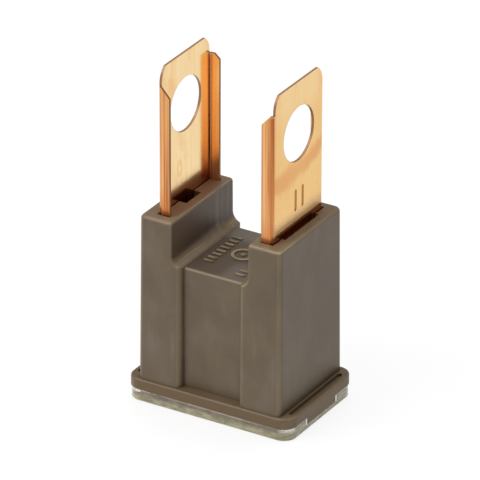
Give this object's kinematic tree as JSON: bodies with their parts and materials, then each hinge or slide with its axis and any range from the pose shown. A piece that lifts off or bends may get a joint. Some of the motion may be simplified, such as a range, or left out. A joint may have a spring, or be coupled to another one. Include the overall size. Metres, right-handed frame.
{
  "type": "fuse",
  "caption": "Bolt-down cartridge fuse: moulded body with a clear window at its foot and channel-shaped contact legs with bolt holes.",
  "frame": {"origin": "middle of the window's underside, at the centre of the fuse's outline", "axes": "+Z from the window end to the leg tips, +X from one leg to the other, +Y along the legs' width"},
  "size_m": [0.0176, 0.012, 0.0337],
  "materials": {
    "housing": "satin moulded brown plastic",
    "window_cover": "clear moulded plastic with a faint yellow-green tint",
    "fuse_link": "bright rolled copper alloy, lightly tarnished",
    "tin_pellet": "dull crimped tin"
  },
  "bodies": {
    "root": {"housing": "housing", "window_cover": "window_cover", "fuse_link": "fuse_link", "tin_pellet": "tin_pellet"}
  },
  "joints": []
}
